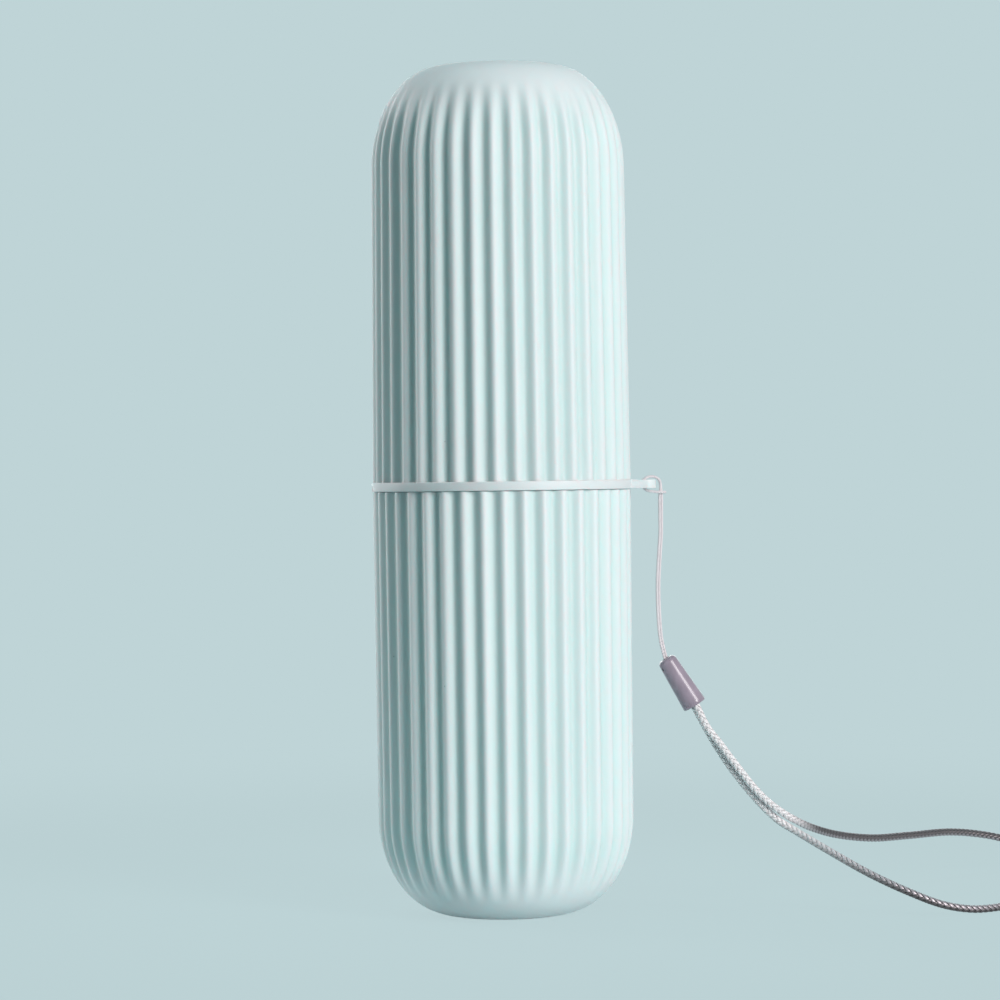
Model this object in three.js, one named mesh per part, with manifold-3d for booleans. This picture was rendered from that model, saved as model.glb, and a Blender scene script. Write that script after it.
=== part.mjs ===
// Travel toothbrush case: two ribbed cups that close mouth to mouth over a neck, with a wrist lanyard.
// Millimetres, +Z up, origin at the centre of the foot. The lug and the lanyard are on the +X side.
import * as THREE from 'three';
import { mergeVertices } from 'three/addons/utils/BufferGeometryUtils.js';
import Module from 'manifold-3d';

const wasm = await Module();
wasm.setup();

// Driving dimensions of the two cups. Radii are over the rib crests.
const RIM_RADIUS = 32;
const LOWER = {
  height: 104.4,
  draft: 0.0044,
  shoulderReach: 18.2,
  shoulderHeight: 23.8,
  floor: 2.4,
  boreRadius: 28,
  ribTurn: -0.43,
};
const UPPER = {
  height: 104.8,
  draft: 0.0081,
  shoulderReach: 16.7,
  shoulderHeight: 25.5,
  floor: 2.2,
  boreRadius: 29.2,
  ribTurn: 1.38,
};
const PARTING_GAP = 0.3;
const CASE_HEIGHT = LOWER.height + PARTING_GAP + UPPER.height;

// Ribs: rounded reeds all round each cup, which fade out on the shoulders
const RIB_COUNT = 40;
const RIB_HEIGHT = 1.2;
const POINTS_PER_RIB = 4;
const FADE_FROM = THREE.MathUtils.degToRad(14);
const FADE_TO = THREE.MathUtils.degToRad(53.5);
const RIM_EDGE = 0.5;

// Rim flange of the upper cup, and the lug with its slot for the leader
const FLANGE_THICKNESS = 2.2;
const FLANGE_RADIUS = 32.2;
const FLANGE_EDGE = 0.2;
const BAND_Z = LOWER.height + PARTING_GAP + FLANGE_THICKNESS / 2;
const LUG_REACH = 38.2;
const LUG_HALF_WIDTH = 3.6;
const LUG_CORNER = 2.4;
const LUG_ROOT = 31;
const BAR_WIDTH = 2.1;
const SLOT_WIDTH = 2.3;
const SLOT_LENGTH = 4;
const LUG_INSET = 0.01;

// Push fit: neck on the lower cup, socket in the upper cup, seal ring in a groove between them
const NECK_HEIGHT = 13;
const NECK_RADIUS = 29.65;
const NECK_ROOT = 4;
const NECK_EDGE = 0.4;
const SOCKET_RADIUS = 30;
const SOCKET_DEPTH = 15;
const SEAL_RADIUS = 29.35;
const SEAL_SECTION = 0.5;
const GROOVE_FLOOR = 28.65;
const GROOVE_CENTRE = LOWER.height + 7.5;
const GROOVE_HALF = 0.8;
const ROUND_SEGMENTS = 60;

// Lanyard: leader, bead, crimp and wrist cord
const LEADER_DIAMETER = 0.7;
const WRIST_DIAMETER = 2;
const CORD_SIDES = 8;
const HITCH_REACH = 2.25;
const HITCH_RISE = 1.85;
const PAIR_HALF_GAP = 0.475;
const PAIR_TURN = THREE.MathUtils.degToRad(-38);
const COLLAR_RADIUS = 1.45;
const COLLAR_DROP = 0.25;
const COLLAR_INSET = 0.3;
const BEAD_TOP = new THREE.Vector3(40.14, 0, 62.37);
const BEAD_TILT = THREE.MathUtils.degToRad(31.3);
const BEAD_LENGTH = 13.6;
const BEAD_TOP_RADIUS = 2.3;
const BEAD_MOUTH_RADIUS = 3.03;
const BEAD_TOP_ROUND = 1.1;
const BEAD_MOUTH_EDGE = 0.15;
const BEAD_WALL = 0.55;
const BEAD_EYE = 1;
const BEAD_CAP = 2.2;
const CRIMP_FROM = 3;
const CRIMP_TO = 10.2;
const BORE_CLEARANCE = 0.2;
const JOINT_GAP = 0.3;
const LEADER_BEND_DROP = 1.2;
const MOUTH_SIDE = 0.25;
const MOUTH_DEPTH = 1.02;

// Leader, from the lug down to the bead: x and z of the middle of its two strands
const LEADER_ROUTE = [
  [39.4, 102.6],
  [39.35, 98],
  [39.3, 93.5],
  [38.9, 88],
  [38.5, 81],
  [38.55, 74],
  [39, 67.5],
  [39.85, 63.4],
];

// Wrist cord, from the bead along its far strand, round the end of the loop and back along its near strand
const WRIST_ROUTE = [
  [49.9, -1.07, 45.7],
  [53.2, -0.94, 41.2],
  [56.2, -0.8, 37.1],
  [61.9, -0.76, 29.7],
  [65.4, -0.66, 26.2],
  [69, -0.2, 23.5],
  [72.8, 3, 21.1],
  [76.6, 8.6, 19],
  [84.3, 20.3, 15.8],
  [94.5, 32, 13.5],
  [105.5, 44, 12.7],
  [118, 57, 12],
  [126.5, 64, 10.6],
  [133, 68, 9],
  [139.5, 70.3, 6.7],
  [145.6, 70.6, 4.4],
  [151.2, 68.8, 2.4],
  [155.8, 64.8, 1.3],
  [158.8, 58.5, 1.1],
  [159.8, 50.5, 1.1],
  [158.6, 41, 1.1],
  [155.2, 30.5, 1.1],
  [149.8, 20, 1.1],
  [142.4, 9.5, 1.1],
  [132.5, -1.2, 1.1],
  [121.5, -10.6, 1.1],
  [113.2, -15.9, 1.3],
  [105.6, -18, 2.8],
  [97, -17.2, 6.1],
  [88.6, -13.6, 9.9],
  [80.4, -7.9, 14.3],
  [71.9, -0.8, 19.1],
  [67.7, 0.6, 21.7],
  [63.5, 0.72, 25.7],
  [57.4, 0.78, 33.1],
  [52.4, 0.92, 40.6],
];

function plastic(name, color, roughness, metalness = 0) {
  return new THREE.MeshStandardMaterial({ name, color, roughness, metalness });
}

// Closed solid from a geometry: only positions count, shared corners are one vertex, flat slivers are dropped
function toSolid(geometry) {
  const bare = geometry.clone();
  bare.deleteAttribute('normal');
  bare.deleteAttribute('uv');
  const merged = mergeVertices(bare);
  const corners = [];
  const index = merged.index.array;
  for (let i = 0; i < index.length; i += 3) {
    const [a, b, c] = index.slice(i, i + 3);
    if (a !== b && b !== c && c !== a) corners.push(a, b, c);
  }
  return new wasm.Manifold(new wasm.Mesh({
    numProp: 3,
    vertProperties: new Float32Array(merged.attributes.position.array),
    triVerts: new Uint32Array(corners),
  }));
}

function toGeometry(solid) {
  const mesh = solid.getMesh();
  const geometry = new THREE.BufferGeometry();
  geometry.setAttribute('position', new THREE.BufferAttribute(mesh.vertProperties, 3));
  geometry.setIndex(new THREE.BufferAttribute(mesh.triVerts, 1));
  geometry.computeVertexNormals();
  return geometry;
}

// Turned geometry about Z from [radius, height] points, which run counter-clockwise
function turned(points, segments = ROUND_SEGMENTS) {
  const profile = points.map(([radius, height]) => new THREE.Vector2(radius, height));
  return new THREE.LatheGeometry(profile, segments).rotateX(Math.PI / 2);
}

// Rib depth at a point of the shoulder: whole on the wall, gone towards the flat end
function ribFade(angle) {
  return 1 - THREE.MathUtils.smoothstep(angle, FADE_FROM, FADE_TO);
}

// Outside of a cup that stands on its flat end: [radius, height, share of the rib height]
function cupOutside(cup, top) {
  const wallFoot = RIM_RADIUS - cup.draft * (cup.height - cup.shoulderHeight);
  const flat = wallFoot - cup.shoulderReach;
  const steps = 7;
  const points = [[0, 0, 0]];
  for (let i = steps; i >= 0; i--) {
    const angle = (i / steps) * (Math.PI / 2);
    const radius = flat + cup.shoulderReach * Math.cos(angle);
    const height = cup.shoulderHeight * (1 - Math.sin(angle));
    points.push([radius, height, ribFade(angle)]);
  }
  points.push([RIM_RADIUS, top - RIM_EDGE, 1]);
  points.push([RIM_RADIUS - RIM_EDGE, top, 1]);
  points.push([0, top, 0]);
  return points;
}

// Ribbed body with no hollow: every rib has two points on its crest and two in the valley beside it
function ribbedBody(cup, top) {
  const points = cupOutside(cup, top);
  const geometry = turned(points, RIB_COUNT * POINTS_PER_RIB);
  const position = geometry.attributes.position;
  for (let i = 0; i < position.count; i++) {
    const column = Math.floor(i / points.length) % POINTS_PER_RIB;
    const [radius, , share] = points[i % points.length];
    const depth = column < POINTS_PER_RIB / 2 ? 0 : RIB_HEIGHT * share;
    const scale = radius > 0 ? (radius - depth) / radius : 1;
    position.setX(i, position.getX(i) * scale);
    position.setY(i, position.getY(i) * scale);
  }
  geometry.rotateZ(THREE.MathUtils.degToRad(cup.ribTurn));
  return toSolid(geometry);
}

// Hollow of a cup: rounded like the outside at its flat end, then the wall, then the mouth's own points
function cupHollow(cup, mouth) {
  const wallFoot = RIM_RADIUS - cup.draft * (cup.height - cup.shoulderHeight);
  const flat = wallFoot - cup.shoulderReach;
  const foot = cup.boreRadius - (RIM_RADIUS - wallFoot);
  const steps = 6;
  const points = [[0, cup.floor]];
  for (let i = steps; i >= 0; i--) {
    const angle = (i / steps) * (Math.PI / 2);
    const radius = flat + (foot - flat) * Math.cos(angle);
    const height = cup.shoulderHeight - (cup.shoulderHeight - cup.floor) * Math.sin(angle);
    points.push([radius, height]);
  }
  return toSolid(turned([...points, ...mouth]));
}

function lowerCup() {
  const top = LOWER.height + NECK_HEIGHT;
  const neck = toSolid(turned([
    [0, LOWER.height - NECK_ROOT],
    [NECK_RADIUS, LOWER.height - NECK_ROOT],
    [NECK_RADIUS, GROOVE_CENTRE - GROOVE_HALF],
    [GROOVE_FLOOR, GROOVE_CENTRE - GROOVE_HALF],
    [GROOVE_FLOOR, GROOVE_CENTRE + GROOVE_HALF],
    [NECK_RADIUS, GROOVE_CENTRE + GROOVE_HALF],
    [NECK_RADIUS, top - NECK_EDGE],
    [NECK_RADIUS - NECK_EDGE, top],
    [0, top],
  ]));
  const hollow = cupHollow(LOWER, [
    [LOWER.boreRadius, LOWER.height],
    [LOWER.boreRadius, top + 1],
    [0, top + 1],
  ]);
  return toGeometry(ribbedBody(LOWER, LOWER.height).add(neck).subtract(hollow));
}

// Lug in plan: straight sides from inside the flange, rounded corners, one slot along the band
function lugOutline() {
  const outline = new THREE.Shape();
  outline.moveTo(LUG_ROOT, -LUG_HALF_WIDTH);
  outline.lineTo(LUG_REACH - LUG_CORNER, -LUG_HALF_WIDTH);
  outline.absarc(LUG_REACH - LUG_CORNER, LUG_CORNER - LUG_HALF_WIDTH, LUG_CORNER, -Math.PI / 2, 0);
  outline.absarc(LUG_REACH - LUG_CORNER, LUG_HALF_WIDTH - LUG_CORNER, LUG_CORNER, 0, Math.PI / 2);
  outline.lineTo(LUG_ROOT, LUG_HALF_WIDTH);
  outline.closePath();
  const slot = new THREE.Path();
  const end = SLOT_WIDTH / 2;
  const centre = LUG_REACH - BAR_WIDTH - end;
  const straight = SLOT_LENGTH / 2 - end;
  slot.absarc(centre, straight, end, 0, Math.PI);
  slot.absarc(centre, -straight, end, Math.PI, 2 * Math.PI);
  slot.closePath();
  outline.holes.push(slot);
  return outline;
}

// Upper cup as it is moulded, crown down: the flange stiffens its mouth
function upperCup() {
  const flangeFoot = UPPER.height - FLANGE_THICKNESS;
  const flange = toSolid(turned([
    [0, flangeFoot],
    [FLANGE_RADIUS - FLANGE_EDGE, flangeFoot],
    [FLANGE_RADIUS, flangeFoot + FLANGE_EDGE],
    [FLANGE_RADIUS, UPPER.height - FLANGE_EDGE],
    [FLANGE_RADIUS - FLANGE_EDGE, UPPER.height],
    [0, UPPER.height],
  ], RIB_COUNT * POINTS_PER_RIB));
  const lugBlank = new THREE.ExtrudeGeometry(lugOutline(), {
    depth: FLANGE_THICKNESS - 2 * LUG_INSET,
    bevelEnabled: false,
    curveSegments: 6,
  });
  const lug = toSolid(lugBlank.translate(0, 0, flangeFoot + LUG_INSET));
  const step = UPPER.height - SOCKET_DEPTH;
  const hollow = cupHollow(UPPER, [
    [UPPER.boreRadius, step],
    [SOCKET_RADIUS, step],
    [SOCKET_RADIUS, UPPER.height + 1],
    [0, UPPER.height + 1],
  ]);
  const body = ribbedBody(UPPER, flangeFoot + FLANGE_THICKNESS / 2);
  return toGeometry(body.add(flange).add(lug).subtract(hollow));
}

function sealRing() {
  return new THREE.TorusGeometry(SEAL_RADIUS, SEAL_SECTION, CORD_SIDES, ROUND_SEGMENTS)
    .translate(0, 0, GROOVE_CENTRE);
}

// Radius of the bead's outside and of its tapered bore, at a distance below its top
function beadRadius(drop) {
  return THREE.MathUtils.mapLinear(drop, 0, BEAD_LENGTH, BEAD_TOP_RADIUS, BEAD_MOUTH_RADIUS);
}

function beadBore(drop) {
  return beadRadius(drop) - BEAD_WALL;
}

// Bead and crimp hang below their origin, along -Z
function bead() {
  const shoulder = beadRadius(BEAD_TOP_ROUND) - BEAD_TOP_ROUND;
  const points = [
    [BEAD_EYE, -BEAD_CAP],
    [beadBore(BEAD_CAP), -BEAD_CAP],
    [beadBore(BEAD_LENGTH), -BEAD_LENGTH],
    [beadRadius(BEAD_LENGTH) - BEAD_MOUTH_EDGE, -BEAD_LENGTH],
    [beadRadius(BEAD_LENGTH), BEAD_MOUTH_EDGE - BEAD_LENGTH],
    ...[0, 30, 60, 90].map((turn) => {
      const angle = THREE.MathUtils.degToRad(turn);
      return [shoulder + BEAD_TOP_ROUND * Math.cos(angle), BEAD_TOP_ROUND * (Math.sin(angle) - 1)];
    }),
    [BEAD_EYE, 0],
    [BEAD_EYE, -BEAD_CAP],
  ];
  return turned(points, 24);
}

function crimp() {
  const foot = beadBore(CRIMP_TO) - BORE_CLEARANCE;
  const head = beadBore(CRIMP_FROM) - BORE_CLEARANCE;
  return turned([[0, -CRIMP_TO], [foot, -CRIMP_TO], [head, -CRIMP_FROM], [0, -CRIMP_FROM]], 16);
}

// Point inside the bead: down its axis, and to the side in the plane of the tilt and along Y
function inBead(drop, side, depth) {
  const sin = Math.sin(BEAD_TILT);
  const cos = Math.cos(BEAD_TILT);
  return new THREE.Vector3(drop * sin + side * cos, depth, side * sin - drop * cos).add(BEAD_TOP);
}

// One strand of the leader from the bead up to the lug, on the front (-1) or the back (1) of the pair
function leaderStrand(side) {
  const across = -side * PAIR_HALF_GAP * Math.sin(PAIR_TURN);
  const depth = side * PAIR_HALF_GAP * Math.cos(PAIR_TURN);
  const inside = [CRIMP_FROM - JOINT_GAP, LEADER_BEND_DROP, 0].map((drop) => inBead(drop, across, depth));
  const hanging = LEADER_ROUTE.map(([x, z]) => new THREE.Vector3(x + across, depth, z));
  return [...inside, ...hanging.reverse()];
}

// Turn of one strand round the bar of the lug: up outside, over the top, down the slot and under the bar
function hitchTurn(side) {
  const bar = LUG_REACH - BAR_WIDTH / 2;
  const steps = 9;
  const whole = 1.5 * Math.PI;
  return Array.from({ length: steps + 1 }, (_, i) => {
    const angle = (i / steps) * whole;
    const depth = THREE.MathUtils.lerp(PAIR_HALF_GAP, COLLAR_RADIUS, i / steps);
    const x = bar + HITCH_REACH * Math.cos(angle);
    return new THREE.Vector3(x, side * depth, BAND_Z + HITCH_RISE * Math.sin(angle));
  });
}

// Collar of the hitch: under the bar, round the outside of both strands and back
function hitchCollar() {
  const centre = LUG_REACH - BAR_WIDTH / 2 + HITCH_REACH - COLLAR_INSET;
  const z = BAND_Z - HITCH_RISE - COLLAR_DROP;
  const steps = 6;
  return Array.from({ length: steps + 1 }, (_, i) => {
    const angle = (i / steps - 0.5) * Math.PI;
    const x = centre + COLLAR_RADIUS * Math.cos(angle);
    return new THREE.Vector3(x, COLLAR_RADIUS * Math.sin(angle), z);
  });
}

// Whole leader: one strand up, round the bar, round the pair, round the bar again and down
function leaderRoute() {
  const up = [...leaderStrand(-1), ...hitchTurn(-1)];
  const down = [...leaderStrand(1), ...hitchTurn(1)].reverse();
  return [...up, ...hitchCollar(), ...down];
}

function wristRoute() {
  const ends = [CRIMP_TO + JOINT_GAP, BEAD_LENGTH];
  const out = ends.map((drop) => inBead(drop, MOUTH_SIDE, -MOUTH_DEPTH));
  const back = ends.map((drop) => inBead(drop, -MOUTH_SIDE, MOUTH_DEPTH)).reverse();
  return [...out, ...WRIST_ROUTE.map((point) => new THREE.Vector3(...point)), ...back];
}

// Round cord through the route's points, with one step between each two points
function cord(route, diameter) {
  const section = new THREE.Shape();
  for (let i = 0; i < CORD_SIDES; i++) {
    const angle = (i / CORD_SIDES) * 2 * Math.PI;
    const x = (diameter / 2) * Math.cos(angle);
    const y = (diameter / 2) * Math.sin(angle);
    if (i === 0) section.moveTo(x, y);
    else section.lineTo(x, y);
  }
  section.closePath();
  const path = new THREE.CatmullRomCurve3(route);
  path.getUtoTmapping = (share) => share;
  return new THREE.ExtrudeGeometry(section, { steps: route.length - 1, extrudePath: path });
}

const mint = plastic('mint_plastic', 0xc9e4e2, 0.5);
const silicone = plastic('clear_silicone', 0xe8ecea, 0.6);
const leaderYarn = plastic('leader_yarn', 0xe6dcdc, 0.8);
const beadPlastic = plastic('bead_plastic', 0x948a98, 0.3);
const crimpMetal = plastic('crimp_metal', 0xb8b8ba, 0.4, 1);
const braidYarn = plastic('braid_yarn', 0xc6cace, 0.65);

function piece(name, geometry, material) {
  const mesh = new THREE.Mesh(geometry, material);
  mesh.name = name;
  return mesh;
}

const toothbrushCase = new THREE.Group();
toothbrushCase.name = 'toothbrush_case';
toothbrushCase.add(piece('lower_cup', lowerCup(), mint));
toothbrushCase.add(piece('seal_ring', sealRing(), silicone));

const cap = piece('upper_cup', upperCup(), mint);
cap.rotation.x = Math.PI;
cap.position.z = CASE_HEIGHT;
toothbrushCase.add(cap);

toothbrushCase.add(piece('leader_cord', cord(leaderRoute(), LEADER_DIAMETER), leaderYarn));
const sleeve = new THREE.Group();
sleeve.position.copy(BEAD_TOP);
sleeve.rotation.y = -BEAD_TILT;
sleeve.add(piece('strap_bead', bead(), beadPlastic));
sleeve.add(piece('strap_crimp', crimp(), crimpMetal));
toothbrushCase.add(sleeve);
toothbrushCase.add(piece('wrist_cord', cord(wristRoute(), WRIST_DIAMETER), braidYarn));

export default toothbrushCase;
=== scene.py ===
"""Travel toothbrush case: two ribbed cups, a seal ring and a wrist lanyard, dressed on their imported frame."""

import math

import bmesh
import bpy
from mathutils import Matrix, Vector, geometry


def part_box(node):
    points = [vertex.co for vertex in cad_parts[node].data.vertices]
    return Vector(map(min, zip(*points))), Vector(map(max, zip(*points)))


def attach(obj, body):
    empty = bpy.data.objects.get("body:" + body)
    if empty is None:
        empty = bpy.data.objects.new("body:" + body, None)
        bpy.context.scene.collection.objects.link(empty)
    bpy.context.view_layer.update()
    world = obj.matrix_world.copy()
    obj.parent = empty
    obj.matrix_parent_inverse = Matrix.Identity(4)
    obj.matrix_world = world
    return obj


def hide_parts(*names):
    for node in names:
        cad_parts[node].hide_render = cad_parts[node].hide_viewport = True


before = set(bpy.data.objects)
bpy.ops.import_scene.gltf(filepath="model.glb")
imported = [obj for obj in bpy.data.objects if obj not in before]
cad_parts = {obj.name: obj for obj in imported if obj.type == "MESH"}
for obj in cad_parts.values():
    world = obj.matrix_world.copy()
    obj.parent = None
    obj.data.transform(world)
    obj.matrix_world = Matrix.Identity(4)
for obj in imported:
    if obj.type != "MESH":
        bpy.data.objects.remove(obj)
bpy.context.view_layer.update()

bl_info = {
    "name": "Travel Toothbrush Case",
    "version": (1, 0, 0),
    "blender": (4, 5, 0),
    "location": "View3D > Sidebar > Case",
    "description": "Models and dresses a ribbed travel toothbrush case with its wrist lanyard",
    "category": "Object",
}

MM = 0.001
QUARTER = math.pi / 2
FULL_TURN = 2 * math.pi

# Light of the studio
LAMP_COLOUR = (1, 0.97, 0.965)
RIM_COLOUR = (1, 0.9, 0.89)
TOP_COLOUR = (0.66, 0.97, 1.02)
AMBIENT_COLOUR = (0.74, 1, 1.02, 1)
BOUNCE_COLOUR = (0.57, 0.75, 0.77)
FAR_BOUNCE_COLOUR = (0.2, 0.3, 0.31)

# Place and size of each softbox
KEY_BOX = (0.82, -0.92, 0.3), (0.42, 0.95)
RIM_BOX = (-1, 0.46, 0.4), (0.5, 0.9)
TOP_BOX = (-0.2, 0, 1.4), (0.8, 0.8)
BACK_BOX = (-0.1, 1.15, 0.32), (1.1, 0.6)

# Floor, and how near and far the camera sees
FLOOR_RADIUS, FLOOR_SIDES = 6, 128
FLOOR_DROP = 0.05 * MM
CLIP_START, CLIP_END = 0.05, 50

# Scale of the patterns in the finishes
CLOUD_SCALE, GRAIN_SCALE, SPECK_SCALE = 45, 3600, 150
DUST_SCALE, DRAWN_SCALE = 900, 2600
FLOW_SCALE, BEAD_GRAIN_SCALE = 420, 5200
LEADER_FIBRE, BRAID_FIBRE = (16, 0.9, 1), (20, 0.4, 1)

# How strongly the mint plastic is tinted by faint clouds, by painted shade in the rib valleys and by specks,
# and the share of its cells that have no speck
CLOUD_TINT, VALLEY_SHADE_TINT, SPECK_TINT = 0.12, 0.6, 0.75
PLAIN_CELLS = 0.8

# Where masks in the finishes start and end
SHELL_EDGE = 0.84, 0.88
VALLEY_SHADE_SIDE = 0.05, 0.4
SPECK_EDGE = 0.02, 0.034
FIBRE_EDGE = 0.3, 0.7
FLOW_EDGE = 0.35, 0.7
STRAND_SHADE_EDGE = 0.05, 0.75
FLANGE_BLEND = 0.2 * MM
GATE_EDGE = 0.26 * MM, 0.44 * MM

# Distance from the bead, in millimetres, over which each strand of the wrist cord darkens from its painted
# highlight to its painted dark reflection
FAR_STRAND_DARKENS = 34, 56
NEAR_STRAND_DARKENS = 30, 82

# Distance from the case over which the floor's bounce and shadow fade
BOUNCE_FADES = 0.06, 0.3
SHADOW_FADES = 0.12, 0.5
SHADOW_LEVEL = 0.08

# Heights and reach that the frame gives
NECK_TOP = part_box("lower_cup")[1].z
FLANGE_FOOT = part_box("upper_cup")[0].z
CASE_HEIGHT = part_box("upper_cup")[1].z
LUG_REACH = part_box("upper_cup")[1].x
SEAL_Z = sum(corner.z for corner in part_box("seal_ring")) / 2

# Fineness of the meshes
COLUMNS_PER_RIB = 16
SHOULDER_STEPS = 26
EDGE_STEPS = 4
CORNER_STEPS = 10
LUG_EDGE_STEPS, SLOT_EDGE_STEPS = 3, 2
BEAD_COLUMNS, BEAD_ROWS, BEAD_TOP_STEPS = 64, 12, 6
SEAL_COLUMNS, SEAL_POINTS = 240, 16
LEADER_STEPS, WRIST_STEPS = 12, 18
BEND_POINTS = 24
STRAND_SIDES = 8
NEAR = 1e-6
MERGE_DISTANCE = 2e-6
SMOOTH_ANGLE = math.radians(50)

# Small details of the moulded pieces
NECK_HEIGHT = 13 * MM
LUG_ROOT, LUG_INSET = 31 * MM, 0.01 * MM
SLOT_ROUND, SLOT_LIP = 0.49, 0.12 * MM
NECK_FILLET, NECK_LIP, BORE_LIP, GROOVE_LIP = 0.3 * MM, 0.5 * MM, 0.35 * MM, 0.12 * MM
SOCKET_MOUTH, SOCKET_STEP = 0.3 * MM, 0.2 * MM
SEAL_RIDGE = 0.03 * MM
BEAD_LIP, EYE_LIP = 0.18 * MM, 0.15 * MM
GATE_PLACE = 2 * MM, -2.12 * MM, -1.14 * MM
GATE_RADIUS = 0.3 * MM

# Details of the cords
PLIES, PLY_SHARE = 3, 0.27
STRANDS_EACH_WAY = 4
STRAND_HALF_WIDTH, STRAND_HALF_THICKNESS, STRAND_WAVE = 0.47 * MM, 0.2 * MM, 0.15 * MM
CHEVRON_TURN = math.radians(45)
CORD_END = 0.3 * MM
LEADER_BEND_DROP = 1.2 * MM
MOUTH_SIDE, MOUTH_DEPTH = 0.25 * MM, 1.02 * MM
HITCH_STEPS, COLLAR_STEPS = 9, 6
COLLAR_INSET, COLLAR_DROP = 0.3 * MM, 0.25 * MM

# Leader, from the lug down to the bead: x and z of the middle of its two strands
LEADER_ROUTE = [
    (39.4, 102.6), (39.35, 98), (39.3, 93.5), (38.9, 88),
    (38.5, 81), (38.55, 74), (39, 67.5), (39.85, 63.4),
]

# Wrist cord, from the bead along its far strand, round the end of the loop and back along its near strand
WRIST_ROUTE = [
    (49.9, -1.07, 45.7), (53.2, -0.94, 41.2), (56.2, -0.8, 37.1), (61.9, -0.76, 29.7), (65.4, -0.66, 26.2),
    (69, -0.2, 23.5), (72.8, 3, 21.1), (76.6, 8.6, 19), (84.3, 20.3, 15.8), (94.5, 32, 13.5),
    (105.5, 44, 12.7), (118, 57, 12), (126.5, 64, 10.6), (133, 68, 9), (139.5, 70.3, 6.7),
    (145.6, 70.6, 4.4), (151.2, 68.8, 2.4), (155.8, 64.8, 1.3), (158.8, 58.5, 1.1), (159.8, 50.5, 1.1),
    (158.6, 41, 1.1), (155.2, 30.5, 1.1), (149.8, 20, 1.1), (142.4, 9.5, 1.1), (132.5, -1.2, 1.1),
    (121.5, -10.6, 1.1), (113.2, -15.9, 1.3), (105.6, -18, 2.8), (97, -17.2, 6.1), (88.6, -13.6, 9.9),
    (80.4, -7.9, 14.3), (71.9, -0.8, 19.1), (67.7, 0.6, 21.7), (63.5, 0.72, 25.7), (57.4, 0.78, 33.1),
    (52.4, 0.92, 40.6),
]


# Kinds of properties


def length(name, description, default):
    return bpy.props.FloatProperty(
        name=name, description=description, default=default, unit="LENGTH", precision=5
    )


def share(name, description, default):
    return bpy.props.FloatProperty(
        name=name, description=description, default=default, min=0, max=1, subtype="FACTOR", precision=4
    )


def angle(name, description, degrees):
    return bpy.props.FloatProperty(
        name=name, description=description, default=math.radians(degrees), subtype="ANGLE", precision=3
    )


def colour(name, description, default):
    return bpy.props.FloatVectorProperty(
        name=name, description=description, default=default, size=3, min=0, max=1, subtype="COLOR"
    )


def power(name, description, default):
    return bpy.props.FloatProperty(name=name, description=description, default=default, min=0, unit="POWER")


class LowerCupSizes(bpy.types.PropertyGroup):
    """Sizes of the cup that stands on the table."""

    height: length("Height", "From the foot to the rim", NECK_TOP - NECK_HEIGHT)
    draft: share("Draft", "Lean of the wall, as a share of its height", 0.0044)
    shoulder_reach: length("Shoulder reach", "How far the shoulder comes in from the wall", 18.2 * MM)
    shoulder_height: length("Shoulder height", "How far the shoulder rises from the foot", 23.8 * MM)
    floor: length("Floor", "Thickness of the flat foot", 2.4 * MM)
    bore_radius: length("Bore radius", "Radius of the hollow at its mouth", 28 * MM)
    crest_turn: angle("Crest turn", "Turn of the first rib crest from the side of the lug", 0.695)


class UpperCupSizes(bpy.types.PropertyGroup):
    """Sizes of the cup that closes over the neck, measured from its crown."""

    height: length("Height", "From the crown to the parting line", CASE_HEIGHT - FLANGE_FOOT)
    draft: share("Draft", "Lean of the wall, as a share of its height", 0.0081)
    shoulder_reach: length("Shoulder reach", "How far the shoulder comes in from the wall", 16.7 * MM)
    shoulder_height: length("Shoulder height", "How far the shoulder drops from the crown", 25.5 * MM)
    floor: length("Floor", "Thickness of the flat crown", 2.2 * MM)
    bore_radius: length("Bore radius", "Radius of the hollow above the socket", 29.2 * MM)
    crest_turn: angle("Crest turn", "Turn of the first rib crest from the side of the lug", -2.505)


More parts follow.
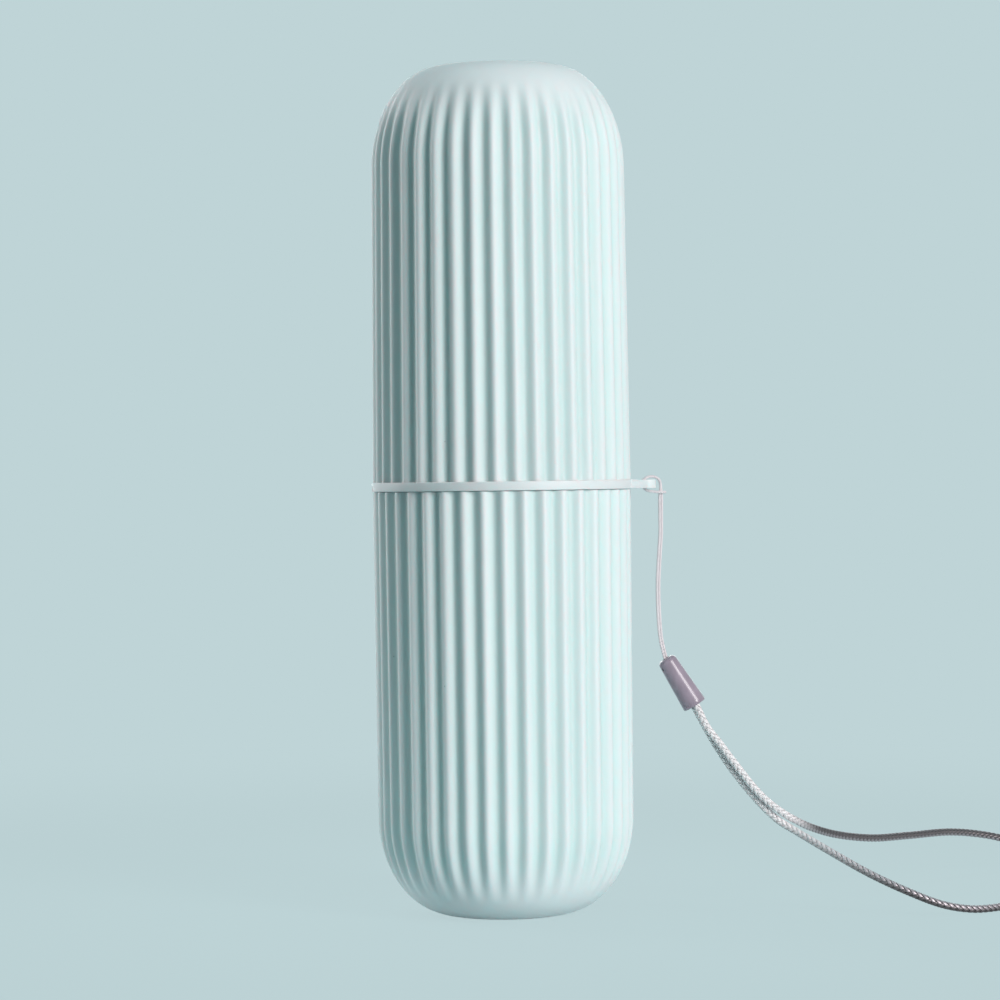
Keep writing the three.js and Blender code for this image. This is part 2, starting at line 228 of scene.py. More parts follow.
class CaseSizes(bpy.types.PropertyGroup):
    """Sizes that the two cups and the seal share."""

    rim_radius: length("Rim radius", "Radius over the rib crests at the parting line", 32 * MM)
    rim_round: length("Rim rounding", "Rounding of the lower cup's outer rim", 0.28 * MM)
    rim_lift: length("Rim lift", "How far the lower cup's outer rim rises towards the flange", 0.22 * MM)
    rib_count: bpy.props.IntProperty(name="Ribs", description="Ribs round each cup", default=40, min=8)
    rib_height: length("Rib height", "Height of a rib over the valley beside it", 1.2 * MM)
    fade_from: angle("Fade from", "Angle on the shoulder where the ribs start to fade", 14)
    fade_to: angle("Fade to", "Angle on the shoulder where the ribs are gone", 53.5)
    flange_radius: length("Flange radius", "Radius of the upper cup's rim flange", 32.2 * MM)
    flange_thickness: length("Flange thickness", "Height of the rim flange", 2.2 * MM)
    flange_edge: length("Flange edge", "Rounding of the flange's edges", 0.19 * MM)
    lug_width: length("Lug width", "Width of the lug along the flange", 7.2 * MM)
    lug_corner: length("Lug corner", "Rounding of the lug in plan", 2.4 * MM)
    bar_width: length("Bar width", "Width of the bar that the leader is hitched to", 2.1 * MM)
    slot_width: length("Slot width", "Width of the lug's slot across the bar", 2.3 * MM)
    slot_length: length("Slot length", "Length of the lug's slot along the bar", 4 * MM)
    neck_radius: length("Neck radius", "Outer radius of the lower cup's neck", 29.65 * MM)
    groove_floor: length("Groove floor", "Radius of the floor of the seal's groove", 28.65 * MM)
    groove_height: length("Groove height", "Height of the seal's groove", 1.6 * MM)
    socket_radius: length("Socket radius", "Radius of the upper cup's socket", 30 * MM)
    socket_depth: length("Socket depth", "Depth of the upper cup's socket", 15 * MM)
    seal_radius: length("Seal radius", "Radius of the middle of the seal ring", 29.35 * MM)
    seal_section: length("Seal section", "Radius of the seal ring's round section", 0.5 * MM)
    lower: bpy.props.PointerProperty(type=LowerCupSizes)
    upper: bpy.props.PointerProperty(type=UpperCupSizes)


class LanyardSizes(bpy.types.PropertyGroup):
    """Sizes of the leader, the bead and the wrist cord."""

    leader_diameter: length("Leader diameter", "Thickness of the thin leader cord", 0.7 * MM)
    leader_lay: length("Leader lay", "Length of one twist of the leader's plies", 2.2 * MM)
    wrist_diameter: length("Wrist cord diameter", "Thickness of the braided wrist cord", 2 * MM)
    wrist_lay: length("Wrist cord lay", "Length of one turn of a braid strand", 6.4 * MM)
    hitch_reach: length("Hitch reach", "Half the length of the leader's turns round the bar", 2.25 * MM)
    hitch_rise: length("Hitch rise", "Half the height of the leader's turns round the bar", 1.85 * MM)
    pair_gap: length("Pair gap", "Distance between the leader's two strands", 0.95 * MM)
    pair_turn: angle("Pair turn", "Turn of the leader's pair of strands below the hitch", -38)
    collar_radius: length("Collar radius", "Radius of the hitch's collar round the pair", 1.45 * MM)
    bead_top: bpy.props.FloatVectorProperty(
        name="Bead top", description="Middle of the bead's upper end", subtype="XYZ", unit="LENGTH", size=3,
        default=(40.14 * MM, 0, 62.37 * MM),
    )
    bead_tilt: angle("Bead tilt", "Lean of the hanging bead away from the case", 31.3)
    bead_length: length("Bead length", "From the bead's top to its mouth", 13.6 * MM)
    bead_top_radius: length("Bead top radius", "Radius of the bead's cone at its top", 2.3 * MM)
    bead_mouth_radius: length("Bead mouth radius", "Radius of the bead at its mouth", 3.03 * MM)
    bead_round: length("Bead rounding", "Rounding of the bead's upper edge", 1.1 * MM)
    bead_wall: length("Bead wall", "Thickness of the bead's wall", 0.55 * MM)
    bead_cap: length("Bead cap", "Thickness of the bead's upper end", 2.2 * MM)
    bead_eye: length("Bead eye", "Radius of the hole in the bead's upper end", 1 * MM)
    crimp_from: length("Crimp from", "Distance of the crimp's head below the bead's top", 3 * MM)
    crimp_to: length("Crimp to", "Distance of the crimp's foot below the bead's top", 10.2 * MM)


class CaseColours(bpy.types.PropertyGroup):
    """Colours of the case, its lanyard and the backdrop."""

    mint: colour("Mint", "Pale mint plastic of the cups", (0.745, 0.785, 0.8))
    # Painted shade: the valley colour stands in for the shade that falls between the ribs
    valley: colour("Valley", "Greener mint between the ribs, where no hand rubs it", (0.55, 0.75, 0.735))
    speck: colour("Speck", "Sparse fine specks in the mint plastic", (0.36, 0.48, 0.47))
    silicone: colour("Silicone", "Milky seal ring", (0.8, 0.84, 0.82))
    leader: colour("Leader", "Pinkish white leader yarn", (0.84, 0.77, 0.8))
    bead: colour("Bead", "Grey mauve bead", (0.3, 0.238, 0.295))
    crimp: colour("Crimp", "Pressed metal crimp", (0.62, 0.62, 0.64))
    # Painted highlight: the pale braid colour by the bead stands in for the key light's reflection on the satin
    # yarn
    braid: colour("Braid", "Pale satin yarn of the wrist cord by the bead", (0.97, 0.885, 0.905))
    # Painted glint: out on the loop, the strands of one lay take this lighter colour over the painted dark
    # reflection
    braid_far_glint: colour("Braid, light", "Lighter yarn of the wrist cord out on its loop", (0.37, 0.32, 0.34))
    # Painted reflection: this darker loop colour stands in for the dim surroundings that the satin yarn
    # reflects out there
    braid_far_dark_reflection: colour("Braid, dark", "Darker yarn of the wrist cord out on its loop", (0.14, 0.12, 0.125))
    backdrop: colour("Backdrop", "Pale floor and backdrop", (0.521, 0.658, 0.679))


class StageSettings(bpy.types.PropertyGroup):
    """Camera and studio light."""

    camera_distance: length("Camera distance", "From the case's axis to the camera", 800 * MM)
    camera_height: length("Camera height", "Height of the camera above the table", 107.58 * MM)
    camera_roll: angle("Camera roll", "Lean of the camera to the side", 0.756)
    focal_length: bpy.props.FloatProperty(
        name="Focal length", description="Lens of the camera", default=115.96, unit="CAMERA"
    )
    shift: bpy.props.FloatVectorProperty(
        name="Shift", description="Shift of the lens, in picture widths", default=(-0.0017, -0.0214), size=2
    )
    key_power: power("Key", "Softbox on the right of the camera", 18.2)
    rim_power: power("Rim", "Softbox behind the case on the left", 6.6)
    top_power: power("Top", "Softbox above the case", 3.8)
    back_power: power("Back", "Wide softbox straight behind the case", 4.6)
    ambient: share("Ambient", "Level of the even light from all round", 0.11)


# Shader maths


class Wire:
    """A socket of a finish, so that maths on it reads as a Python expression."""

    def __init__(self, finish, node, name):
        self.finish = finish
        self.node = node
        self.socket = node.outputs[name]

    def other(self, name):
        return Wire(self.finish, self.node, name)

    def math(self, operation, *values):
        sockets = dict(enumerate((self, *values)))
        return self.finish.node("ShaderNodeMath", {"operation": operation}, sockets)

    def flipped(self, operation, first):
        return self.finish.node("ShaderNodeMath", {"operation": operation}, {0: first, 1: self})

    def __add__(self, value):
        return self.math("ADD", value)

    def __sub__(self, value):
        return self.math("SUBTRACT", value)

    def __mul__(self, value):
        return self.math("MULTIPLY", value)

    def __truediv__(self, value):
        return self.math("DIVIDE", value)

    def __radd__(self, value):
        return self.flipped("ADD", value)

    def __rsub__(self, value):
        return self.flipped("SUBTRACT", value)

    def __rmul__(self, value):
        return self.flipped("MULTIPLY", value)

    def fade(self, low, high):
        """Rises smoothly from 0 at low to 1 at high."""
        sockets = {"Value": self, "From Min": low, "From Max": high}
        return self.finish.node("ShaderNodeMapRange", {"interpolation_type": "SMOOTHSTEP"}, sockets)


class Finish:
    """A material or world whose nodes are made one by one."""

    def __init__(self, owner):
        owner.use_nodes = True
        self.owner = owner
        self.tree = owner.node_tree
        self.tree.nodes.clear()

    def node(self, kind, settings=None, sockets=None, out=0):
        made = self.tree.nodes.new(kind)
        for name, value in (settings or {}).items():
            setattr(made, name, value)
        for name, value in (sockets or {}).items():
            if isinstance(value, Wire):
                self.tree.links.new(value.socket, made.inputs[name])
            else:
                made.inputs[name].default_value = value
        return Wire(self, made, out) if len(made.outputs) else made

    def place(self):
        return self.node("ShaderNodeTexCoord", out="Object")

    def yarn(self):
        return self.node("ShaderNodeTexCoord", out="UV")

    def noise(self, vector, scale, detail=2.0, roughness=0.5):
        sockets = {"Vector": vector, "Scale": scale, "Detail": detail, "Roughness": roughness}
        return self.node("ShaderNodeTexNoise", {}, sockets)

    def stretched(self, vector, scale):
        return self.node("ShaderNodeMapping", {"vector_type": "POINT"}, {"Vector": vector, "Scale": scale})

    def tint(self, amount, first, second):
        """First colour where the amount is 0, second where it is 1."""
        sockets = {0: amount}
        for name, value in ((6, first), (7, second)):
            sockets[name] = value if isinstance(value, Wire) else (*value, 1)
        return self.node("ShaderNodeMix", {"data_type": "RGBA"}, sockets, out=2)

    def bump(self, height, depth, strength=1.0):
        return self.node("ShaderNodeBump", {}, {"Height": height, "Distance": depth, "Strength": strength})

    def surface(self, sockets):
        shader = self.node("ShaderNodeBsdfPrincipled", {}, sockets)
        self.node("ShaderNodeOutputMaterial", {}, {"Surface": shader})
        return self.owner


def scaled(tone, level):
    return [level * value for value in tone]


def mint_plastic(name, sizes, cup, end, colours):
    """Matte moulded plastic: fine grain, faint clouds, sparse specks, and painted shade in the valleys between
    the ribs, which are tinted a greener, darker mint and made a little rougher.
    """
    finish = Finish(bpy.data.materials.new(name))
    place = finish.place()
    across = finish.node("ShaderNodeSeparateXYZ", {}, {0: place})
    depth, height = across.other("Y"), across.other("Z")
    turn = depth.math("ARCTAN2", across) * (sizes.rib_count / FULL_TURN)
    crest = cup.crest_turn * sizes.rib_count / FULL_TURN
    offset = ((turn - crest + 0.5).math("FRACT") - 0.5).math("ABSOLUTE")
    radius = (across * across + depth * depth).math("SQRT")
    steep = (1 - (height - end).math("ABSOLUTE") / cup.shoulder_height).math("MAXIMUM", 0.0)
    reach = (radius - flat_end(sizes, cup)) / cup.shoulder_reach
    outside = (reach * reach + steep * steep).fade(*SHELL_EDGE)
    ribbed = 1 - steep.fade(math.sin(sizes.fade_from), math.sin(sizes.fade_to))
    half = sizes.flange_thickness / 2
    clear = (height - (FLANGE_FOOT + half)).math("ABSOLUTE").fade(half, half + FLANGE_BLEND)
    # Painted shade: mask of the valleys between the ribs, which the valley colour darkens
    valley = offset.fade(*VALLEY_SHADE_SIDE) * outside * ribbed * clear
    cloud = finish.noise(place, CLOUD_SCALE, 3)
    grain = finish.noise(place, GRAIN_SCALE, 2, 0.6)
    cells = {"Vector": place, "Scale": SPECK_SCALE, "Randomness": 1}
    cell = finish.node("ShaderNodeTexVoronoi", {}, cells, "Distance")
    lot = finish.node("ShaderNodeSeparateColor", {}, {0: cell.other("Color")})
    speck = lot.math("GREATER_THAN", PLAIN_CELLS) * (1 - cell.fade(*SPECK_EDGE)) * SPECK_TINT
    # Painted shade: the valley mask tints the mint towards the greener valley colour
    base = finish.tint(cloud * CLOUD_TINT + valley * VALLEY_SHADE_TINT, colours.mint, colours.valley)
    return finish.surface({
        "Base Color": finish.tint(speck, base, colours.speck),
        "Roughness": 0.47 + 0.07 * valley + 0.1 * (grain - 0.5) + 0.05 * cloud,
        "Specular IOR Level": 0.42,
        "Subsurface Weight": 0.5,
        "Subsurface Radius": (0.35, 1, 0.95),
        "Subsurface Scale": 1.8 * MM,
        "Normal": finish.bump(grain, 0.02 * MM, 0.5),
    })


def milky_silicone(colours):
    """Soft seal ring with a dusty sheen."""
    finish = Finish(bpy.data.materials.new("milky_silicone"))
    dust = finish.noise(finish.place(), DUST_SCALE, 3)
    return finish.surface({
        "Base Color": finish.tint(dust * 0.3, colours.silicone, scaled(colours.silicone, 0.86)),
        "Roughness": 0.32 + 0.2 * dust,
        "Sheen Weight": 0.15,
        "Normal": finish.bump(dust, 0.02 * MM, 0.4),
    })


def leader_yarn(colours):
    """Thin twisted cord: fibres run along each ply."""
    finish = Finish(bpy.data.materials.new("leader_yarn"))
    fibre = finish.noise(finish.stretched(finish.yarn(), LEADER_FIBRE), 1, 3)
    return finish.surface({
        "Base Color": finish.tint(fibre.fade(*FIBRE_EDGE), scaled(colours.leader, 0.82), colours.leader),
        "Roughness": 0.5 + 0.2 * fibre,
        "Sheen Weight": 0.3,
        "Normal": finish.bump(fibre, 0.02 * MM, 0.7),
    })


def satin_braid(colours, length):
    """Satin yarn with painted light: a painted highlight makes it pale by the bead, a painted dark reflection
    darkens it out on the loop (sooner on its far strand), strands of one lay carry a lighter painted glint
    there, and the strands' inner sides carry a painted shade.
    """
    finish = Finish(bpy.data.materials.new("satin_braid"))
    yarn = finish.yarn()
    fibre = finish.noise(finish.stretched(yarn, BRAID_FIBRE), 1, 3)
    around = finish.node("ShaderNodeSeparateXYZ", {}, {0: yarn})
    along = around.other("Y")
    # Painted highlight fading into painted dark reflection: the mask rises from 0 by the bead to 1 out on the
    # loop
    near = (length / MM - along).fade(*NEAR_STRAND_DARKENS)
    out = along.fade(*FAR_STRAND_DARKENS).math("MINIMUM", near)
    # Painted shade: each strand keeps its colour on its outer side and is darkened on its inner side, down
    # among the other strands
    top = (around * FULL_TURN).math("SINE").fade(*STRAND_SHADE_EDGE)
    # Painted glint: out on the loop, the strands of one lay take the lighter colour and the others the painted
    # dark reflection
    lay = around.math("GREATER_THAN", 1)
    loop = finish.tint(lay, colours.braid_far_glint, colours.braid_far_dark_reflection)
    pale = finish.tint(fibre.fade(*FIBRE_EDGE), colours.braid, scaled(colours.braid, 0.93))
    face = finish.tint(out, pale, loop)
    painted_crease_shade = finish.tint(out, scaled(colours.braid, 0.7), scaled(colours.braid_far_dark_reflection, 0.5))
    return finish.surface({
        "Base Color": finish.tint(top, painted_crease_shade, face),
        "Metallic": 0.7 * out,
        "Roughness": 0.46 - 0.06 * out + 0.1 * fibre,
        "Subsurface Weight": 0.5,
        "Subsurface Radius": (1, 0.9, 0.9),
        "Subsurface Scale": 0.6 * MM,
        "Normal": finish.bump(fibre, 0.03 * MM, 0.6),
    })


def bead_plastic(colours, gate):
    """Semi-gloss grey mauve plastic, darkened and made rougher round the gate dimple near its top."""
    finish = Finish(bpy.data.materials.new("bead_plastic"))
    place = finish.place()
    flow = finish.noise(finish.stretched(place, (1, 1, 0.35)), FLOW_SCALE, 3)
    grain = finish.noise(place, BEAD_GRAIN_SCALE, 2)
    away = finish.node("ShaderNodeVectorMath", {"operation": "DISTANCE"}, {0: place, 1: gate}, "Value")
    round_dimple = 1 - away.fade(*GATE_EDGE)
    base = finish.tint(flow.fade(*FLOW_EDGE), colours.bead, scaled(colours.bead, 1.16))
    return finish.surface({
        "Base Color": finish.tint(round_dimple * 0.85, base, scaled(colours.bead, 0.12)),
        "Roughness": 0.24 + 0.12 * flow + 0.25 * round_dimple,
        "Coat Weight": 0.15 * (1 - round_dimple),
        "Coat Roughness": 0.12,
        "Normal": finish.bump(grain, 0.01 * MM, 0.3),
    })


def pressed_metal(colours):
    """Plain crimp of pressed sheet, drawn along its length."""
    finish = Finish(bpy.data.materials.new("pressed_metal"))
    drawn = finish.noise(finish.stretched(finish.place(), (1, 1, 0.1)), DRAWN_SCALE, 3)
    return finish.surface({
        "Base Color": finish.tint(drawn, scaled(colours.crimp, 0.8), colours.crimp),
        "Metallic": 1.0,
        "Roughness": 0.3 + 0.2 * drawn,
        "Normal": finish.bump(drawn, 0.02 * MM, 0.5),
    })


def seen_directly(finish):
    """1 for rays that show the backdrop itself, 0 for those that light the case."""
    ray = finish.node("ShaderNodeLightPath", out="Is Camera Ray")
    shown = ray + ray.other("Is Glossy Ray") + ray.other("Is Transmission Ray")
    return shown.math("MINIMUM", 1.0)


def floor_paint(colours):
    """Pale floor: an even backdrop colour that keeps a soft shadow close to the case."""
    finish = Finish(bpy.data.materials.new("floor_paint"))
    away = finish.node("ShaderNodeVectorMath", {"operation": "LENGTH"}, {0: finish.place()}, "Value")
    even = 1 - SHADOW_LEVEL + SHADOW_LEVEL * away.fade(*SHADOW_FADES)
    plain = finish.node("ShaderNodeEmission", {}, {"Color": (*colours.backdrop, 1), "Strength": 1})
    bounce = finish.tint(away.fade(*BOUNCE_FADES), BOUNCE_COLOUR, FAR_BOUNCE_COLOUR)
    lit = finish.node("ShaderNodeBsdfDiffuse", {}, {"Color": bounce})
    mixed = finish.node("ShaderNodeMixShader", {}, {0: seen_directly(finish) * even, 1: lit, 2: plain})
    finish.node("ShaderNodeOutputMaterial", {}, {"Surface": mixed})
    return finish.owner


# Modelling


def deselect():
    bpy.ops.object.select_all(action="DESELECT")


def start_piece(name):
    """Takes the object that an operator has just added as a new piece, with its place in its mesh."""
    piece = bpy.context.object
    piece.name = piece.data.name = name
    bpy.ops.object.transform_apply(location=True, rotation=True, scale=True)
    return piece


def pick(piece):
    """Selects one piece alone."""
    deselect()
    piece.select_set(True)
    bpy.context.view_layer.objects.active = piece


def edit(piece, elements):
    """Goes into edit mode on one piece alone."""
    pick(piece)
    bpy.ops.object.mode_set(mode="EDIT")
    bpy.ops.mesh.select_mode(type=elements)


def leave_edit():
    bpy.ops.object.mode_set(mode="OBJECT")


def select_edges(piece, wanted):
    """In edit mode, selects the edges whose two ends pass the test."""
    bpy.ops.mesh.select_all(action="DESELECT")
    mesh = bmesh.from_edit_mesh(piece.data)
    for edge in mesh.edges:
        edge.select_set(wanted(edge.verts[0].co, edge.verts[1].co))
    bmesh.update_edit_mesh(piece.data)


def select_boundary():
    bpy.ops.mesh.select_all(action="DESELECT")
    bpy.ops.mesh.select_non_manifold(
        use_wire=False, use_multi_face=False, use_non_contiguous=False, use_verts=False
    )


def apply_modifier(piece, modifier):
    bpy.context.view_layer.objects.active = piece
    bpy.ops.object.modifier_apply(modifier=modifier.name)


def combine(piece, other, operation):
    """Joins or cuts a piece by another, which is used up."""
    modifier = piece.modifiers.new(operation.lower(), "BOOLEAN")
    modifier.operation = operation
    modifier.object = other
    modifier.solver = "EXACT"
    apply_modifier(piece, modifier)
    bpy.data.objects.remove(other)


def arc(centre, radius, start, end, steps):
    """Points of an arc in the plane of a profile, with angles in quarter turns from the outward direction."""
    points = []
    for i in range(steps + 1):
        at = QUARTER * (start + (end - start) * i / steps)
        points.append((centre[0] + radius * math.cos(at), centre[1] + radius * math.sin(at)))
    return points


def lathe(name, profile, columns, origin, axis, outward):
    """Draws a profile of (radius, distance along the axis) vertex by vertex and spins it a full turn."""
    places = [origin + outward * radius + axis * along for radius, along in profile]
    deselect()
    bpy.ops.mesh.primitive_plane_add(size=MM, location=(0, 0, 0))
    piece = start_piece(name)
    edit(piece, "VERT")
    bpy.ops.mesh.select_all(action="SELECT")
    bpy.ops.mesh.merge(type="CENTER")
    bpy.ops.transform.translate(value=places[0])
    for last, place in zip(places, places[1:]):
        bpy.ops.mesh.extrude_vertices_move(TRANSFORM_OT_translate={"value": place - last})
    bpy.ops.mesh.select_all(action="SELECT")
    bpy.ops.mesh.spin(steps=columns, angle=FULL_TURN, center=origin, axis=axis)
    bpy.ops.mesh.select_all(action="SELECT")
    bpy.ops.mesh.remove_doubles(threshold=MERGE_DISTANCE)
    bpy.ops.mesh.normals_make_consistent(inside=False)
    leave_edit()
    return piece


def upright(name, sizes, cup, profile):
    """Lathes a profile of (radius, height) about the case's axis, with a column on every rib crest."""
    outward = Vector((math.cos(cup.crest_turn), math.sin(cup.crest_turn), 0))
    columns = sizes.rib_count * COLUMNS_PER_RIB
    return lathe(name, profile, columns, Vector(), Vector((0, 0, 1)), outward)


def finish_piece(piece, body, node, material):
    """Shades a piece, gives it its finish and sets it on the frame."""
    pick(piece)
    bpy.ops.object.shade_smooth_by_angle(angle=SMOOTH_ANGLE)
    piece.data.materials.clear()
    piece.data.materials.append(material)
    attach(piece, body)
    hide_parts(node)


# Cups


def wall_foot(sizes, cup):
    """Radius over the crests where the wall meets the shoulder."""
    return sizes.rim_radius - cup.draft * (cup.height - cup.shoulder_height)


def flat_end(sizes, cup):
    """Radius of the flat foot or crown."""
    return wall_foot(sizes, cup) - cup.shoulder_reach


def shoulder(flat, wall, low, high):
    """Quarter ellipse from the flat end out to the wall, as (radius, distance from the flat end)."""
    points = []
    for i in range(SHOULDER_STEPS + 1):
        at = QUARTER * (1 - i / SHOULDER_STEPS)
        points.append((flat + (wall - flat) * math.cos(at), high - (high - low) * math.sin(at)))
    return points


def outer_profile(sizes, cup, end):
    """Outside of a cup over the crests, from the middle of its flat end to the given distance from it."""
    rounded = shoulder(flat_end(sizes, cup), wall_foot(sizes, cup), 0, cup.shoulder_height)
    middle = [(part * flat_end(sizes, cup), 0) for part in (0, 0.5)]
    return [*middle, *rounded, (sizes.rim_radius - cup.draft * (cup.height - end), end)]


def hollow_profile(sizes, cup):
    """Inside of a cup, from the top of its shoulder to the middle of its floor."""
    foot = cup.bore_radius - (sizes.rim_radius - wall_foot(sizes, cup))
    rounded = shoulder(flat_end(sizes, cup), foot, cup.floor, cup.shoulder_height)
    return [*reversed(rounded), (0.5 * flat_end(sizes, cup), cup.floor), (0, cup.floor)]


def rib_fade(sizes, cup, distance):
    """Share of the rib's height at a distance from the flat end: whole on the wall, none near the flat."""
    at = math.asin(max(0.0, min(1.0, 1 - distance / cup.shoulder_height)))
    t = max(0.0, min(1.0, (at - sizes.fade_from) / (sizes.fade_to - sizes.fade_from)))
    return 1 - t * t * (3 - 2 * t)


def sink_valleys(piece, sizes, cup, distance_of):
    """Sinks the valleys between the ribs into a smooth cup, along its normals."""
    group = piece.vertex_groups.new(name="valley")
    for vertex in piece.data.vertices:
        turn = (math.atan2(vertex.co.y, vertex.co.x) - cup.crest_turn) * sizes.rib_count / FULL_TURN
        valley = 0.5 - 0.5 * math.cos(FULL_TURN * turn)
        group.add([vertex.index], valley * rib_fade(sizes, cup, distance_of(vertex.co.z)), "REPLACE")
    displace = piece.modifiers.new("valleys", "DISPLACE")
    displace.vertex_group = group.name
    displace.strength = -sizes.rib_height
    displace.mid_level = 0
    apply_modifier(piece, displace)
    piece.vertex_groups.clear()


def roll_rim(piece, sizes):
    """Rounds the open edge of the lower cup's wall inwards, ring by ring."""
    edit(piece, "EDGE")
    select_boundary()
    rim = arc((sizes.rim_radius - sizes.rim_round, 0), sizes.rim_round, 0, 1, EDGE_STEPS)
    for (last_radius, last_z), (radius, z) in zip(rim, rim[1:]):
        bpy.ops.mesh.extrude_edges_move(TRANSFORM_OT_translate={"value": (0, 0, z - last_z)})
        scale = radius / last_radius
        bpy.ops.transform.resize(value=(scale, scale, 1), center_override=(0, 0, 0))
    leave_edit()


def close_shell(outside, inside):
    """Joins an outer wall and an inner wall at their open edges."""
    pick(outside)
    inside.select_set(True)
    bpy.ops.object.join()
    edit(outside, "EDGE")
    select_boundary()
    bpy.ops.mesh.bridge_edge_loops()
    bpy.ops.mesh.select_all(action="SELECT")
    bpy.ops.mesh.normals_make_consistent(inside=False)
    leave_edit()


def neck_profile(sizes, cup):
    """From the lower cup's rim up the neck with its groove, over the lip and down to the bore."""
    low, high = SEAL_Z - sizes.groove_height / 2, SEAL_Z + sizes.groove_height / 2
    foot = (sizes.neck_radius + NECK_FILLET, cup.height + sizes.rim_lift + NECK_FILLET)
    return [
        *arc(foot, NECK_FILLET, 3, 2, EDGE_STEPS),
        (sizes.neck_radius, low - GROOVE_LIP),
        (sizes.neck_radius - GROOVE_LIP, low),
        (sizes.groove_floor, low),
        (sizes.groove_floor, high),
        (sizes.neck_radius - GROOVE_LIP, high),
        (sizes.neck_radius, high + GROOVE_LIP),
        *arc((sizes.neck_radius - NECK_LIP, NECK_TOP - NECK_LIP), NECK_LIP, 0, 1, EDGE_STEPS),
        *arc((cup.bore_radius + BORE_LIP, NECK_TOP - BORE_LIP), BORE_LIP, 1, 2, EDGE_STEPS),
        (cup.bore_radius, cup.height),
    ]


def flange_profile(sizes, cup):
    """From the top of the rim flange round its edge and up into the socket and the bore."""
    edge = sizes.flange_edge
    rim = sizes.flange_radius - edge
    ledge = FLANGE_FOOT + sizes.socket_depth
    return [
        *arc((rim, FLANGE_FOOT + sizes.flange_thickness - edge), edge, 1, 0, EDGE_STEPS),
        *arc((rim, FLANGE_FOOT + edge), edge, 0, -1, EDGE_STEPS),
        (sizes.socket_radius + SOCKET_MOUTH, FLANGE_FOOT),
        (sizes.socket_radius, FLANGE_FOOT + SOCKET_MOUTH),
        (sizes.socket_radius, ledge - SOCKET_STEP),
        (sizes.socket_radius - SOCKET_STEP, ledge),
        (cup.bore_radius, ledge),
    ]


def rounded_block(name, low, high, wanted, offset, segments):
    """Cube drawn to a box, with the edges that pass the test rounded."""
    deselect()
    bpy.ops.mesh.primitive_cube_add(size=1, location=(low + high) / 2, scale=high - low)
    piece = start_piece(name)
    soften(piece, wanted, offset, segments)
    return piece


def soften(piece, wanted, offset, segments):
    """Rounds the edges of a piece that pass the test."""
    edit(piece, "EDGE")
    select_edges(piece, wanted)
    bpy.ops.mesh.bevel(offset=offset, segments=segments, affect="EDGES")
    leave_edit()


def make_lug(sizes):
    """Lug of the rim flange: a rounded tab with a slot beside its outer bar."""
    half = sizes.lug_width / 2
    low = Vector((LUG_ROOT, -half, FLANGE_FOOT + LUG_INSET))
    high = Vector((LUG_REACH, half, FLANGE_FOOT + sizes.flange_thickness - LUG_INSET))
    middle = LUG_REACH - sizes.bar_width - sizes.slot_width / 2

    def upright_edge(a, b):
        return abs(a.z - b.z) > NEAR

    def outer_corner(a, b):
        return upright_edge(a, b) and min(a.x, b.x) > LUG_REACH - NEAR

    def level(a, b):
        return abs(a.z - b.z) < NEAR and min(abs(a.z - low.z), abs(a.z - high.z)) < NEAR

    def outline(a, b):
        return level(a, b) and max(a.x, b.x) > LUG_ROOT + NEAR

    def slot_lip(a, b):
        inside = max(abs(a.x - middle), abs(b.x - middle)) < sizes.slot_width / 2 + NEAR
        return level(a, b) and inside and max(abs(a.y), abs(b.y)) < sizes.slot_length / 2 + NEAR

    lug = rounded_block("lug", low, high, outer_corner, sizes.lug_corner, CORNER_STEPS)
    soften(lug, outline, sizes.flange_edge, LUG_EDGE_STEPS)
    reach = Vector((sizes.slot_width / 2, sizes.slot_length / 2, sizes.flange_thickness))
    centre = Vector((middle, 0, FLANGE_FOOT + sizes.flange_thickness / 2))
    low_end, high_end = centre - reach, centre + reach
    slot = rounded_block("slot", low_end, high_end, upright_edge, SLOT_ROUND * sizes.slot_width, CORNER_STEPS)
    combine(lug, slot, "DIFFERENCE")
    soften(lug, slot_lip, SLOT_LIP, SLOT_EDGE_STEPS)
    return lug


# Cords


def smooth_route(points, spacing):
    """Even steps along a centripetal curve through the points."""
    whole = [2 * points[0] - points[1], *points, 2 * points[-1] - points[-2]]
    curve = [points[0]]
    for before, start, end, after in zip(whole, whole[1:], whole[2:], whole[3:]):
        d0, d1, d2 = ((b - a).length ** 0.5 for a, b in ((before, start), (start, end), (end, after)))
        leave = (start - before) / d0 - (end - before) / (d0 + d1) + (end - start) / d1
        arrive = (end - start) / d1 - (after - start) / (d1 + d2) + (after - end) / d2
        handles = start + leave * d1 / 3, end - arrive * d1 / 3
        curve += geometry.interpolate_bezier(start, *handles, end, BEND_POINTS)[1:]
    steps = round(sum((b - a).length for a, b in zip(curve, curve[1:])) / spacing)
    return even_steps(curve, steps)


def even_steps(curve, steps):
    """The curve again, as a number of equal steps."""
    reached = [0.0]
    for a, b in zip(curve, curve[1:]):
        reached.append(reached[-1] + (b - a).length)
    path, k = [], 0
    for i in range(steps + 1):
        at = reached[-1] * i / steps
        while k < len(curve) - 2 and reached[k + 1] < at:
            k += 1
        path.append(curve[k].lerp(curve[k + 1], (at - reached[k]) / (reached[k + 1] - reached[k])))
    return path


def route_length(path):
    return sum((b - a).length for a, b in zip(path, path[1:]))


def directions(path):
    """Direction of a path at each of its points."""
    ends = zip([path[0], *path[:-1]], [*path[1:], path[-1]])
    return [(b - a).normalized() for a, b in ends]


def sides_of(path, first):
    """Two directions across a path at each point, carried along it without twist."""
    frames = []
    normal = Vector(first)
    for along in directions(path):
        normal = (normal - along * normal.dot(along)).normalized()
        frames.append((normal, along.cross(normal)))
    return frames


